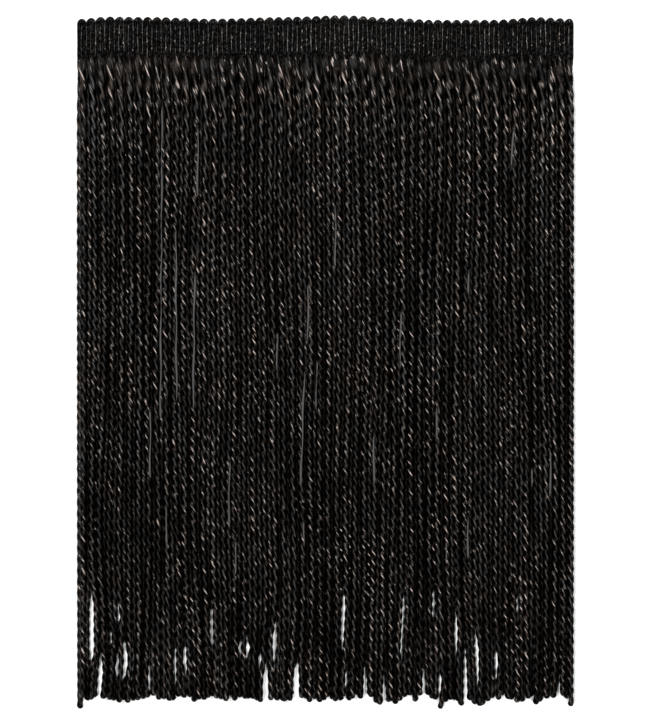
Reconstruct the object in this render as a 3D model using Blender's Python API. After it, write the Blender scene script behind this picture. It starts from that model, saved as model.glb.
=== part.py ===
"""A cut length of bullion fringe, laid flat and face up.

X runs along the heading, Y runs from the hem up to the heading's looped edge, and Z is up from
the surface that the fringe lies on. The origin is on that surface, under the middle of the
outline. The heading is one solid. The cords hang from a narrow strip under the heading's lower
edge, each second cord on the surface and the others on top of them, in the valleys between.
"""

import math
import random

import bpy
import numpy as np

MM = 0.001

# Driving dimensions of the fringe
WIDTH = 183.0 * MM
DROP = 250.0 * MM
LONGEST_END = 4.3 * MM
CORD_COUNT = 106
PITCH = WIDTH / CORD_COUNT

# The heading: cross ribs, one for each cord, and a loop over each pair of them
HEADING_HEIGHT = 14.5 * MM
RIB_TOP = 1.9 * MM
RIB_VALLEY = 1.45 * MM
LOOP_RISE = 1.25 * MM
LOOP_SHOULDER = 0.7 * MM
EDGE_THICKNESS = 0.9 * MM
CLEARANCE = 0.3 * MM

# How the heading sways along its length, in mm: the place across, and the rise there
HEADING_SWAY = (
    (-91.5, -0.45),
    (-80.0, 0.40),
    (-64.0, 0.25),
    (-42.0, -0.35),
    (-16.0, 0.25),
    (6.0, 0.90),
    (26.0, -0.10),
    (40.0, -0.80),
    (62.0, -0.75),
    (78.0, 0.20),
    (91.5, -0.40),
)
SWAY_PEAK = max(rise for _, rise in HEADING_SWAY) * MM

# The strip that binds the cords, and the roots of the cords under it
STRIP_HEIGHT = 1.2 * MM
STRIP_THICKNESS = 1.8 * MM
ROOT_BOTTOM = 0.1 * MM
ROOT_WIDTH = 1.4 * MM
ROOT_THICKNESS = 1.5 * MM

# The cords: their section, and the depths under the strip at which they are full and bend
STRAND_WIDTH = 2.1 * MM
STRAND_THICKNESS = 1.75 * MM
FRONT_LIFT = 2.05 * MM
LIFTED_AT = 8.0 * MM
FULL_AT = 14.0 * MM
BEND_DEPTHS = (
    50.0 * MM,
    95.0 * MM,
    140.0 * MM,
    184.0 * MM,
    200.0 * MM,
    213.0 * MM,
    225.0 * MM,
)
END_TAPER = 1.1 * MM
END_SCALE = 0.5
END_MEAN = 1.0 * MM
END_SPREAD = 0.9 * MM
END_REACH = 1.7 * MM

# Places along Y
TOP = (SWAY_PEAK + DROP + LONGEST_END) / 2
HEADING_LINE = TOP - SWAY_PEAK
HEM = HEADING_LINE - DROP
FOOT_LINE = HEADING_LINE - HEADING_HEIGHT
STRIP_LINE = FOOT_LINE - CLEARANCE
ROOT_LINE = STRIP_LINE - STRIP_HEIGHT

# How the cords settle beside each other: slices across the fringe, one under another
CORD_RADIUS = 0.9 * MM
CORD_COVER = 1.2 * MM
SLICE = 4.0 * MM
SLICES = 62
SAME_LAYER_SPACING = 2.42 * MM
NEIGHBOUR_SPACING = 1.95 * MM
LOOSE_SPACING = 2.15 * MM
PARTED_SPACING = 20.0 * MM
LOOSE_DEPTH = 180.0 * MM
LOOSENS_OVER = 25.0 * MM
SETTLE_STEPS = 60
SMOOTHING = 0.08
EDGE_MARGIN = 1.15 * MM

# Partings between the cords, in mm: the place across, how far the upper and the lower end are
# above the mean hem, how wide the slit shows, and how far the lower end lies towards +X
PARTINGS = (
    (-86.0, 37.0, 12.5, 1.35, 0.0),
    (-83.0, 13.5, -6.0, 1.20, -1.8),
    (-78.6, 24.0, 19.0, 0.55, 0.0),
    (-76.1, 34.5, 27.0, 0.60, 0.0),
    (-76.3, 15.5, 7.0, 0.55, 0.0),
    (-73.5, 18.5, 7.5, 0.95, -1.1),
    (-64.7, 9.0, 5.0, 0.55, 0.0),
    (-55.4, 17.5, 6.5, 0.55, 0.0),
    (-52.3, 19.4, 10.0, 0.65, 0.0),
    (-42.0, 35.2, 18.0, 0.60, 0.0),
    (-39.9, 10.0, 6.0, 0.55, 0.0),
    (-31.9, 20.0, 16.0, 0.55, 0.0),
    (-28.5, 19.8, 12.5, 0.75, -0.5),
    (-24.5, 17.0, 12.0, 0.50, 0.0),
    (-22.0, 9.0, -6.0, 1.40, 0.0),
    (-19.2, 26.3, 12.7, 0.85, 0.0),
    (-10.7, 12.0, -6.0, 1.60, 0.0),
    (6.5, 37.0, 16.8, 0.75, -1.1),
    (7.8, 9.5, 5.0, 0.80, 0.0),
    (15.3, 9.0, -6.0, 0.90, 0.0),
    (22.5, 8.0, -6.0, 0.65, 0.0),
    (28.6, 38.5, 14.0, 0.50, -1.4),
    (36.7, 9.0, -6.0, 0.60, 0.0),
    (40.0, 39.6, 27.8, 0.55, -1.5),
    (42.2, 7.5, 2.5, 0.55, 0.0),
    (48.1, 29.3, 18.0, 0.60, 0.0),
    (51.0, 20.5, -6.0, 0.70, 0.0),
    (55.9, 22.7, 6.5, 0.85, 0.0),
    (62.9, 16.0, 9.5, 0.70, 0.0),
    (70.8, 37.0, 28.0, 0.50, 0.0),
    (85.6, 3.5, -6.0, 0.60, 0.0),
)
PARTING_BLEND = 9.0 * MM
PARTING_START = 0.6
PARTING_SLACK = 3.0 * MM
PLAN_ROUNDS = 16
PLAN_RATE = 0.5
PLANNED_LEAST = -0.4 * MM
PLANNED_MOST = 3.4 * MM

# Cords that end lower than the rest, in mm: the place across, and how far past the mean hem
LONG_ENDS = (
    (-90.6, 4.3),
    (42.3, 4.2),
    (51.0, 3.2),
    (56.1, 3.1),
    (57.8, 3.0),
    (90.6, 3.2),
)


def smooth_step(value):
    """Ease from 0 to 1."""
    value = np.clip(value, 0.0, 1.0)
    return value * value * (3.0 - 2.0 * value)


def sway(across):
    """Rise of the heading at a place across, eased between the rows of its table."""
    place = across / MM
    for (start, low), (stop, high) in zip(HEADING_SWAY[:-1], HEADING_SWAY[1:]):
        if place <= stop:
            break
    share = float(smooth_step((place - start) / (stop - start)))
    return (low + (high - low) * share) * MM


def hang_freely(roots, depths):
    """Where each cord hangs across the fringe at each depth, before its neighbours push it."""
    draw = random.Random(11)
    depth = depths[:, None]
    edge = smooth_step((WIDTH / 2 - PITCH / 2 - np.abs(roots)) / (9.0 * MM))
    ease = smooth_step(depth / (90.0 * MM))
    lean = 0.9 * np.sin(roots / (17.0 * MM) + depth / (70.0 * MM))
    lean = lean + 0.5 * np.sin(roots / (7.5 * MM) - depth / (45.0 * MM) + 1.3)
    for cord in range(len(roots)):
        slow = draw.uniform(0.0, math.tau)
        quick = draw.uniform(0.0, math.tau)
        lean[:, cord] += 0.75 * np.sin(math.tau * depths / (95.0 * MM) + slow)
        lean[:, cord] += 0.40 * np.sin(math.tau * depths / (42.0 * MM) + quick)
    return roots + ease * edge * lean * MM


def open_partings(across, roots, depths, planned):
    """Push the cords on both sides of each parting out of its gap."""
    above_hem = ROOT_LINE - HEM - depths
    for (place, high, low, _, lean), gap in zip(PARTINGS, planned):
        below_top = high * MM - above_hem
        above_foot = above_hem - low * MM
        share = np.clip(below_top / ((high - low) * MM), 0.0, 1.0)
        centre = (place + lean * (share - 0.5)) * MM
        opened = smooth_step(below_top / PARTING_BLEND + PARTING_START)
        opened = opened * smooth_step(above_foot / PARTING_BLEND + PARTING_START)
        half = (gap / 2 + CORD_RADIUS + PARTING_SLACK) * opened - PARTING_SLACK
        left = roots < place * MM
        across[:, left] = np.minimum(across[:, left], (centre - half)[:, None])
        across[:, ~left] = np.maximum(across[:, ~left], (centre + half)[:, None])


def widest_spacing(roots, depths):
    """How far apart neighbours may lie: a row for each depth, a column for each pair of them."""
    loosened = smooth_step((depths - LOOSE_DEPTH) / LOOSENS_OVER)[:, None]
    widest = NEIGHBOUR_SPACING + (LOOSE_SPACING - NEIGHBOUR_SPACING) * loosened
    widest = np.repeat(widest, len(roots) - 1, axis=1)
    above_hem = ROOT_LINE - HEM - depths
    for place, high, low, _, _ in PARTINGS:
        pair = int((roots < place * MM).sum()) - 1
        parted = (above_hem < (high + 1.0) * MM) & (above_hem > (low - 1.0) * MM)
        widest[parted, pair] = PARTED_SPACING
    return widest


def close_up(across, widest):
    """Draw neighbours together, so that they cover what is behind them."""
    excess = np.maximum(across[:, 1:] - across[:, :-1] - widest, 0.0)
    across[:, :-1] += excess / 3
    across[:, 1:] -= excess / 3


def part_layers(across):
    """Push neighbours in one layer apart where they come too close."""
    overlap = np.minimum(across[:, 2:] - across[:, :-2] - SAME_LAYER_SPACING, 0.0)
    across[:, :-2] += overlap / 2
    across[:, 2:] -= overlap / 2
    limit = WIDTH / 2 - EDGE_MARGIN
    np.clip(across, -limit, limit, out=across)


def slit_widths(across, roots, depths):
    """How wide each parting's slit shows round its middle, between the sides of the cords."""
    above_hem = ROOT_LINE - HEM - depths
    widths = []
    for place, high, low, _, _ in PARTINGS:
        left = roots < place * MM
        low = max(low, 0.0)
        near = max((high - low) / 3 * MM, 0.6 * SLICE)
        rows = across[np.abs(above_hem - (high + low) / 2 * MM) < near]
        apart = rows[:, ~left].min(axis=1) - rows[:, left].max(axis=1)
        widths.append(float(apart.max()) - 2 * CORD_COVER)
    return np.array(widths)


def settle_round(roots, depths, planned):
    """Let the cords settle, with each parting pushed open to its planned width."""
    across = hang_freely(roots, depths)
    widest = widest_spacing(roots, depths)
    for _ in range(SETTLE_STEPS):
        across[1:-1] += SMOOTHING * (across[:-2] + across[2:] - 2.0 * across[1:-1])
        open_partings(across, roots, depths, planned)
        close_up(across, widest)
        part_layers(across)
        across[0] = roots
    for _ in range(SETTLE_STEPS):
        part_layers(across)
    across[0] = roots
    return across


def settle_cords():
    """Where the cords lie across the fringe: a row for each depth, a column for each cord.

    Neighbours push and pull at a parting, so its planned width is changed, round by round, until
    its slit shows as wide as its row says.
    """
    roots = np.array([-WIDTH / 2 + (cord + 0.5) * PITCH for cord in range(CORD_COUNT)])
    depths = np.arange(SLICES) * SLICE
    wanted = np.array([row[3] for row in PARTINGS]) * MM
    planned = wanted
    for _ in range(PLAN_ROUNDS):
        across = settle_round(roots, depths, planned)
        planned = planned + PLAN_RATE * (wanted - slit_widths(across, roots, depths))
        planned = np.clip(planned, PLANNED_LEAST, PLANNED_MOST)
    return roots, depths, across


def end_depths(roots):
    """How far under the strip each cord ends: uneven, with a few long ends."""
    draw = random.Random(23)
    ends = []
    for root in roots:
        uneven = min(max(draw.gauss(0.0, END_SPREAD), -END_REACH), END_REACH)
        beyond = END_MEAN + uneven
        for place, longer in LONG_ENDS:
            if abs(root - place * MM) < PITCH / 2:
                beyond = longer * MM
        ends.append(ROOT_LINE - HEM + beyond)
    return ends


def yarn_material(name, colour, roughness):
    """Black yarn with a soft gloss."""
    material = bpy.data.materials.new(name)
    material.use_nodes = True
    shader = material.node_tree.nodes["Principled BSDF"]
    shader.inputs["Base Color"].default_value = (*colour, 1.0)
    shader.inputs["Roughness"].default_value = roughness
    shader.inputs["Metallic"].default_value = 0.0
    return material


def add_solid(name, points, faces, material):
    """A named object with its own mesh and material."""
    mesh = bpy.data.meshes.new(name)
    mesh.from_pydata(points, [], faces)
    mesh.materials.append(material)
    solid = bpy.data.objects.new(name, mesh)
    bpy.context.scene.collection.objects.link(solid)
    return solid


def heading_section(step):
    """The heading's outline at one place along it, going round from the foot of the face."""
    across = -WIDTH / 2 + step * PITCH / 2
    face = RIB_TOP if step % 2 == 1 else RIB_VALLEY
    turn = (step % 4) / 2 - 1.0
    dip = LOOP_RISE * (1.0 - math.sqrt(1.0 - turn * turn))
    top = HEADING_LINE + sway(across) - dip
    foot = FOOT_LINE + sway(across)
    return (
        (across, foot, face),
        (across, top - LOOP_SHOULDER, face),
        (across, top, EDGE_THICKNESS),
        (across, top, 0.0),
        (across, foot, 0.0),
    )


def build_heading():
    """The band: a flat back, ribs raised on the face, and a row of loops along its top edge."""
    sections = [heading_section(step) for step in range(2 * CORD_COUNT + 1)]
    sides = len(sections[0])
    points = [point for section in sections for point in section]
    faces = [tuple(range(sides))]
    for step in range(len(sections) - 1):
        here = step * sides
        after = here + sides
        for side in range(sides):
            other = (side + 1) % sides
            faces.append((here + side, after + side, after + other, here + other))
    last = len(points) - sides
    faces.append(tuple(last + side for side in reversed(range(sides))))
    material = yarn_material("heading_yarn", (0.014, 0.014, 0.015), 0.55)
    return add_solid("heading", points, faces, material)


def strand_ring(across, along, bottom, width, thickness):
    """The four corners of a strand: top left, top right, bottom right, bottom left."""
    left = across - width / 2
    right = across + width / 2
    top = bottom + thickness
    return [
        (left, along, top),
        (right, along, top),
        (right, along, bottom),
        (left, along, bottom),
    ]


def strand_rings(cord, root, track, depths, end):
    """Rings of one strand from its root to its end. Each second cord climbs onto the others."""
    bottom = FRONT_LIFT if cord % 2 == 1 else 0.0
    rings = [strand_ring(root, ROOT_LINE + sway(root), ROOT_BOTTOM, ROOT_WIDTH, ROOT_THICKNESS)]
    for depth in (LIFTED_AT, FULL_AT, *BEND_DEPTHS, end - END_TAPER):
        across = float(np.interp(depth, depths, track))
        width = ROOT_WIDTH if depth == LIFTED_AT else STRAND_WIDTH
        rings.append(strand_ring(across, ROOT_LINE - depth, bottom, width, STRAND_THICKNESS))
    across = float(np.interp(end, depths, track))
    width = STRAND_WIDTH * END_SCALE
    thickness = STRAND_THICKNESS * END_SCALE
    bottom += (STRAND_THICKNESS - thickness) / 2
    rings.append(strand_ring(across, ROOT_LINE - end, bottom, width, thickness))
    return rings


def strip_corners(column):
    """Corners of the strip between two cords: top front, top back, foot back, foot front."""
    across = -WIDTH / 2 + column * PITCH
    rise = sway(across)
    return (
        (across, STRIP_LINE + rise, STRIP_THICKNESS),
        (across, STRIP_LINE + rise, 0.0),
        (across, ROOT_LINE + rise, 0.0),
        (across, ROOT_LINE + rise, STRIP_THICKNESS),
    )


def build_skirt():
    """The cords, each rooted in its own cell of the strip that binds them."""
    roots, depths, tracks = settle_cords()
    ends = end_depths(roots)
    columns = range(CORD_COUNT + 1)
    points = [corner for column in columns for corner in strip_corners(column)]
    last = 4 * CORD_COUNT
    faces = [(0, 1, 2, 3), (last + 3, last + 2, last + 1, last)]
    for cord in range(CORD_COUNT):
        here = 4 * cord
        after = here + 4
        faces.append((after, after + 1, here + 1, here))
        faces.append((after + 1, after + 2, here + 2, here + 1))
        faces.append((after + 3, after, here, here + 3))
        ring = [here + 3, after + 3, after + 2, here + 2]
        for corners in strand_rings(cord, float(roots[cord]), tracks[:, cord], depths, ends[cord]):
            new = list(range(len(points), len(points) + 4))
            points.extend(corners)
            for side in range(4):
                other = (side + 1) % 4
                faces.append((ring[side], new[side], new[other], ring[other]))
            ring = new
        faces.append(tuple(reversed(ring)))
    material = yarn_material("cord_yarn", (0.012, 0.012, 0.013), 0.5)
    return add_solid("skirt", points, faces, material)


def main():
    for placed in list(bpy.data.objects):
        bpy.data.objects.remove(placed)
    build_heading()
    build_skirt()


main()
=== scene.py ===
"""The finished look of a cut length of bullion fringe, laid flat and face up.

Twisted three-strand cords, copper thread and a looped, ribbed heading are modelled around the
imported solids, in metres. X runs along the heading, Y up from the hem, and Z out of the face.
"""

import functools
import math
import random

import bpy
import numpy as np
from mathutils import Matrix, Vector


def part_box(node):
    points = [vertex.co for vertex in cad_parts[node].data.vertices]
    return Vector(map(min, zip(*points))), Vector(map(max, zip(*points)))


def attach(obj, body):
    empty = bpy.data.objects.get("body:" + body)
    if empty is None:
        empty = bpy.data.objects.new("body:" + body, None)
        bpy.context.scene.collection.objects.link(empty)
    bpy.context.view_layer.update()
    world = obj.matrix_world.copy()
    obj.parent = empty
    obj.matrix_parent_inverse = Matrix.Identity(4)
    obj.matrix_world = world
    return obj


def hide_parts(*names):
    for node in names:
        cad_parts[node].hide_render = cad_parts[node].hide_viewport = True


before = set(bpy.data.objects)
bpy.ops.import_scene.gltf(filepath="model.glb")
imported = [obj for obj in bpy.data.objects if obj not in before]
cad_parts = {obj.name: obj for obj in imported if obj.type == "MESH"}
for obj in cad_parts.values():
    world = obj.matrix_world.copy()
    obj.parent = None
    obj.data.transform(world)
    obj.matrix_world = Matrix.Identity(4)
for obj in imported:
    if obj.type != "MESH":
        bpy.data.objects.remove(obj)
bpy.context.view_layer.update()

bl_info = {
    "name": "Bullion Fringe",
    "version": (1, 0, 0),
    "blender": (4, 5, 0),
    "location": "View3D > Sidebar > Fringe",
    "description": "Twisted cords with copper thread under a looped heading",
    "category": "Mesh",
}

MM = 0.001
HEADING_LOW, HEADING_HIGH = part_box("heading")
SKIRT_LOW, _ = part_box("skirt")

# The fringe's plan, the same as the solids'. The heading's sway is in mm: the place across, and
# the rise there
WIDTH = HEADING_HIGH.x - HEADING_LOW.x
CORD_COUNT = 106
PITCH = WIDTH / CORD_COUNT
DROP = 250.0 * MM
HEADING_HEIGHT = 14.5 * MM
STRIP_DEPTH = 1.5 * MM
HEADING_SWAY = (
    (-91.5, -0.45),
    (-80.0, 0.40),
    (-64.0, 0.25),
    (-42.0, -0.35),
    (-16.0, 0.25),
    (6.0, 0.90),
    (26.0, -0.10),
    (40.0, -0.80),
    (62.0, -0.75),
    (78.0, 0.20),
    (91.5, -0.40),
)
SWAY_PEAK = max(rise for _, rise in HEADING_SWAY) * MM

# Lines across the fringe, by how far up it they lie on average: the loops' tops, the ribs' feet,
# the strip's lower side, where the cords come out, and the hem
HEADING_LINE = -SKIRT_LOW.y - SWAY_PEAK
FOOT_LINE = HEADING_LINE - HEADING_HEIGHT
ROOT_LINE = FOOT_LINE - STRIP_DEPTH
HEM = HEADING_LINE - DROP

# How the cords hang before they meet, in mm. The waves that they share: the size, the scale
# across and down the fringe, and the phase. Each one's own waves: the size, and the length. The
# waves grow down the cords, and are smaller near the fringe's sides.
SHARED_WAVES = (
    (0.9, 17.0, 70.0, 0.0),
    (0.5, 7.5, -45.0, 1.3),
)
OWN_WAVES = (
    (0.75, 95.0),
    (0.40, 42.0),
)
WAVES_GROW_OVER = 90.0 * MM
STRAIGHT_EDGE = 9.0 * MM

# How the cords settle beside each other, and how unevenly they end, as in the solids
CORD_RADIUS = 0.9 * MM
SLICE = 4.0 * MM
SLICES = 62
SAME_LAYER_SPACING = 2.42 * MM
NEIGHBOUR_SPACING = 1.95 * MM
LOOSE_SPACING = 2.15 * MM
PARTED_SPACING = 20.0 * MM
LOOSE_DEPTH = 180.0 * MM
LOOSENS_OVER = 25.0 * MM
SETTLE_STEPS = 60
SMOOTHING = 0.08
EDGE_MARGIN = 1.15 * MM
END_MEAN = 1.0 * MM
END_SPREAD = 0.9 * MM
END_REACH = 1.7 * MM
SAG = 0.1 * MM
SAG_STEPS = 3

# Partings between the cords, in mm: the place across, how far the upper and the lower end are
# above the mean hem, how wide the slit shows, and how far the lower end lies towards +X
PARTINGS = (
    (-86.0, 37.0, 12.5, 1.35, 0.0),
    (-83.0, 13.5, -6.0, 1.20, -1.8),
    (-78.6, 24.0, 19.0, 0.55, 0.0),
    (-76.1, 34.5, 27.0, 0.60, 0.0),
    (-76.3, 15.5, 7.0, 0.55, 0.0),
    (-73.5, 18.5, 7.5, 0.95, -1.1),
    (-64.7, 9.0, 5.0, 0.55, 0.0),
    (-55.4, 17.5, 6.5, 0.55, 0.0),
    (-52.3, 19.4, 10.0, 0.65, 0.0),
    (-42.0, 35.2, 18.0, 0.60, 0.0),
    (-39.9, 10.0, 6.0, 0.55, 0.0),
    (-31.9, 20.0, 16.0, 0.55, 0.0),
    (-28.5, 19.8, 12.5, 0.75, -0.5),
    (-24.5, 17.0, 12.0, 0.50, 0.0),
    (-22.0, 9.0, -6.0, 1.40, 0.0),
    (-19.2, 26.3, 12.7, 0.85, 0.0),
    (-10.7, 12.0, -6.0, 1.60, 0.0),
    (6.5, 37.0, 16.8, 0.75, -1.1),
    (7.8, 9.5, 5.0, 0.80, 0.0),
    (15.3, 9.0, -6.0, 0.90, 0.0),
    (22.5, 8.0, -6.0, 0.65, 0.0),
    (28.6, 38.5, 14.0, 0.50, -1.4),
    (36.7, 9.0, -6.0, 0.60, 0.0),
    (40.0, 39.6, 27.8, 0.55, -1.5),
    (42.2, 7.5, 2.5, 0.55, 0.0),
    (48.1, 29.3, 18.0, 0.60, 0.0),
    (51.0, 20.5, -6.0, 0.70, 0.0),
    (55.9, 22.7, 6.5, 0.85, 0.0),
    (62.9, 16.0, 9.5, 0.70, 0.0),
    (70.8, 37.0, 28.0, 0.50, 0.0),
    (85.6, 3.5, -6.0, 0.60, 0.0),
)

# How a parting blends out past its ends, and how far past them its cords stay free, in mm
PARTING_BLEND = 9.0 * MM
PARTING_START = 0.6
PARTING_SLACK = 3.0 * MM
PARTING_MARGIN = 1.0

# How the partings' planned widths are found, and how much of a slit a cord's side covers
PLAN_ROUNDS = 16
PLAN_RATE = 0.5
PLANNED_LEAST = -0.4 * MM
PLANNED_MOST = 3.4 * MM
CORD_COVER = 1.2 * MM

# Cords that end lower than the rest, in mm: the place across, and how far past the mean hem
LONG_ENDS = (
    (-90.6, 4.3),
    (42.3, 4.2),
    (51.0, 3.2),
    (56.1, 3.1),
    (57.8, 3.0),
    (90.6, 3.2),
)

# The twisted cord: its plies, corners round it, rings along it, and the shape of its ends. The
# knob's steps and lengths are in radii, from the end
STRANDS = 3
STRAND_TURN = math.tau / STRANDS
STRAND_CORNERS = np.radians([-60, -27, 0, 27])
CORNER_ANGLES = np.concatenate([STRAND_CORNERS + ply * STRAND_TURN for ply in range(STRANDS)])
COLUMNS = len(CORNER_ANGLES)
BODY_RINGS = 282
BODY_END = 1.9
KNOB_STEPS = (1.5, 1.1, 0.62, 0.28, 0.06)
KNOB_SCALE = 1.1
KNOB_LENGTH = 1.7
KNOB_BLEND = 0.7
KNOB_ROUNDNESS = 0.55
ROUNDS_FROM = 1.5
ROUNDS_OVER = 1.2
SPANS = 4

# How thick each cord is and how long its twist, both uneven: slacker and thicker at the top,
# tighter and thinner at the hem
FULLNESS = (0.96, 1.05)
SLACK_SCALE = 1.03
TIGHT_SCALE = 0.9
LAY_SPREAD = (0.9, 1.12)
LAY_WAVE = 0.08
LAY_WAVE_SCALE = 19.0 * MM
TURN_STEPS = 600
TOP_SLACKNESS = 2.0
TIGHTENS_OVER = 13.0 * MM
LAYER_CONTACT = 0.9

# A front cord comes out from under the ribs, spread flat to the width of a loop, and then closes
# up. The cord behind starts thin and hidden behind it.
HIDDEN_START = 1.9 * MM
EMERGES_OVER = 3.0 * MM
EMERGING_SCALE = 0.75
ROOT_HEIGHT = 1.0 * MM
LIFT_DEPTH = 10.0 * MM
SWAY_DEPTH = 8.0 * MM
ROOT_PLY = 0.9 * MM
ROOT_OFFSET = PITCH / 2
ROOT_FLATNESS = 0.55
BACK_ROOT_SCALE = 0.7
GATHER_DEPTH = 20.0 * MM

# Gloss: that of the cords' yarn, of the heading's threads and of each loop's yarn, then the
# deepest shade painted on the cords behind, and the spacing of the front ones at which that
# painted shade is full or gone
YARN_GLOSS = 0.6
THREAD_GLOSS = 0.9
LOOP_TINTS = (0.55, 1.0)
DEEPEST_PAINTED_SHADE = 0.06
SHUT = 3.2 * MM
OPEN = 4.4 * MM

# A ply gets a painted highlight as its crest turns up to the face, and painted shade beside the
# crest by a power of the cosine. It fades towards the hem. Near the roots more of each ply gets
# the painted highlight, and it is darker, with the most painted shade where it comes out from
# under the ribs.
TURNED_AWAY = 0.4
TURNED_UP = 0.85
CREST_FALL = 2.6
TOP_GLOSS = 0.97
HEM_FADING = 0.34
ROOT_TURNED_AWAY = 0.0
ROOT_CREST_FALL = 1.1
ROOT_CREST_REACH = 70.0 * MM
ROOT_FADING = 0.1
UNDER_RIB_PAINTED_SHADE = 0.2
UNDER_RIB_SHADE_DEPTH = 9.5 * MM
EVEN_DEPTH = 7.0 * MM

# Grain: how the filaments' map drifts round a cord as it turns, the ribs' radius on their map in
# mm, how far the map moves from one yarn to the next, and how high the filaments stand
STREAK_DRIFT = -0.1
RIB_ROUND = 0.87
CORD_JITTER = 17.3
RIB_JITTER = 23.7
VALLEY_JITTER = 7.9
ARC_JITTER = 13.1
RELIEF = 0.2 * MM

# Flat copper thread in the cords, in mm: how far above the roots its first run starts, and the
# lengths of the runs at the top and below. Then the share of runs that show it, how often a ply
# misses, how much less the cords behind have, and how a stretch tapers and rises from the yarn
COPPER_START = (2.0, 12.0)
TOP_RUNS = (14.0, 34.0)
RUNS = (8.0, 55.0)
TOP_METAL = 0.95
LEAST_METAL = 0.45
MORE_METAL = 0.7
MISSED = 0.18
BACK_COPPER = 0.25
COPPER_MARGIN = 2.0 * MM
STRETCH_COLUMNS = 3
STRETCH_TAPER = np.array([0.25, 0.85, 1.0, 0.85, 0.25])
STRETCH_LIFT = 0.035 * MM * np.array([-1.0, 0.6, 1.0, 0.6, -1.0])
STRETCH_DEPTH = 0.11 * MM

# The heading's looped ribs: each goes up, over an arch and down again, with a slight wobble and
# slight pinches along it
RIB_COUNT = CORD_COUNT // 2
RIB_COLUMNS = 10
LEG_STEPS = 120
ARCH_STEPS = 62
SHORT_STEP = 0.05 * MM
LEG_RINGS = 14
ARCH_RINGS = 12
ARCH_RISE = 1.05 * MM
ARCH_SCALE = 0.88
LOOP_PROUD = 0.45 * MM
LOOP_LEAN = 0.2 * MM
RIB_HEIGHT = 1.0 * MM
RIB_OVERLAP = 0.2 * MM
PINCH_SPACING = 2.0 * MM
PINCH = 0.05
WOBBLE = 0.04 * MM
WOBBLE_SCALE = 1.9 * MM
RIB_FOOT_SCALE = 0.8
TAPER_LENGTH = 1.2 * MM

# Thin glossy threads lie in the valleys between the ribs: how far below the loops' crests
# they start, how far above the ribs' feet they end, and how unevenly they shine
THREAD_RADIUS = 0.24 * MM
THREAD_HEIGHT = 1.7 * MM
THREAD_COLUMNS = 6
THREAD_RINGS = 20
THREAD_END_SCALE = 0.4
UNDER_LOOP = 2.0 * MM
UNDER_NOTCH = 1.5 * MM
ABOVE_FOOT = 0.9 * MM
BOW_SCALE = 2.4 * MM
VALLEY_DIP = 0.35 * MM
THREAD_TONES = (0.0, 1.6)

# Thinner ones arch over each loop, in mm: half the width, and the rise above the loop's base
ARCS = (
    (1.32, 1.45),
    (0.66, 0.85),
)
ARC_RADIUS = 0.17 * MM
ARC_TONE = 0.55
ARC_DIP = 0.3 * MM
ARC_TAPER = 1.0 / 1.5

# Short copper stitches: in rows on those threads, below the loops' crests, and on some loops
STITCH_ROWS = (5.9 * MM, 9.1 * MM, 11.9 * MM)
STITCH_SCATTER = 0.4 * MM
STITCHED_VALLEYS = 0.3
STITCHED_LOOPS = 0.45
STITCH_COLUMNS = 4
STITCH_TAPER = np.array([0.3, 0.85, 1.0, 0.85, 0.3])
STITCH_HEIGHT = THREAD_HEIGHT + 0.8 * THREAD_RADIUS

# The thin woven ground that the ribs are worked on
GROUND_THICKNESS = 0.25 * MM
GROUND_TOP = 1.6 * MM
GROUND_FOOT = 4.5 * MM
GROUND_INSET = 0.6 * MM
GROUND_LIFT = 0.02 * MM
GROUND_ROWS = 10

# Loose straight threads on the face, in mm: the places across of the upper and the lower end,
# how far the upper end is above the mean hem, and the length
LOOSE_THREADS = (
    (-64.4, -64.4, 107.0, 27.5),
    (-60.1, -60.7, 218.5, 117.0),
    (-58.3, -58.5, 71.0, 16.0),
    (-54.9, -54.7, 173.0, 64.0),
    (-48.0, -48.6, 157.0, 52.0),
    (-46.8, -47.0, 211.0, 28.0),
    (-35.1, -35.6, 88.0, 26.0),
    (-32.8, -33.2, 59.0, 15.0),
    (-17.8, -17.7, 135.5, 19.0),
    (-7.9, -7.7, 66.0, 11.0),
    (-7.7, -9.0, 121.0, 44.0),
    (-6.3, -6.4, 153.0, 23.0),
    (-3.1, -3.3, 125.0, 20.0),
    (3.8, 3.7, 182.0, 25.0),
    (17.9, 17.8, 98.0, 20.5),
    (27.8, 27.6, 143.0, 23.5),
    (41.0, 40.8, 107.0, 13.0),
    (44.5, 44.3, 58.5, 10.0),
    (52.6, 52.3, 67.0, 17.0),
    (52.7, 52.7, 158.0, 11.0),
    (69.5, 68.2, 210.0, 16.0),
    (76.0, 76.0, 85.5, 9.0),
    (82.8, 82.9, 92.5, 19.5),
)

# A loose thread's sway across and swell in width, each with its scale along it, and over how
# much of its length the cords' height is evened out under it, all in mm, then how deep it lies
# among them, and how its ends dip and taper
LOOSE_COLUMNS = 6
LOOSE_RINGS = 90
LOOSE_SWAY = 0.15
LOOSE_SWAY_SCALE = 3.5
LOOSE_SWELL = 0.3
LOOSE_SWELL_SCALE = 4.5
LOOSE_REACH = 3.0
LOOSE_SUNK = 0.18 * MM
LOOSE_DIP = 0.7 * MM
LOOSE_TAPER = 2.5
LOOSE_END_SCALE = 0.35
DOWN_THE_FACE = np.array([[0.0, -1.0]])

# The part of the cords' plane that the picture takes in
FRAME_HEIGHT = 265.6 * MM
FRAME_CENTRE = (-0.1 * MM, 0.55 * MM)
FACE_HEIGHT = 3.0 * MM

# The floor's size, the sky's strength, and the lamps over the fringe: name, place and power
FLOOR_SIZE = 6.0
SKY = 0.05
LAMP_SIZE = 0.4
LAMPS = (
    ("upper_left", (-0.55, 0.5, 1.8), 26.0),
    ("upper_right", (0.55, 0.5, 1.8), 16.0),
    ("lower_left", (-0.55, -0.5, 1.8), 16.0),
    ("lower_right", (0.55, -0.5, 1.8), 14.0),
)


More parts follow.
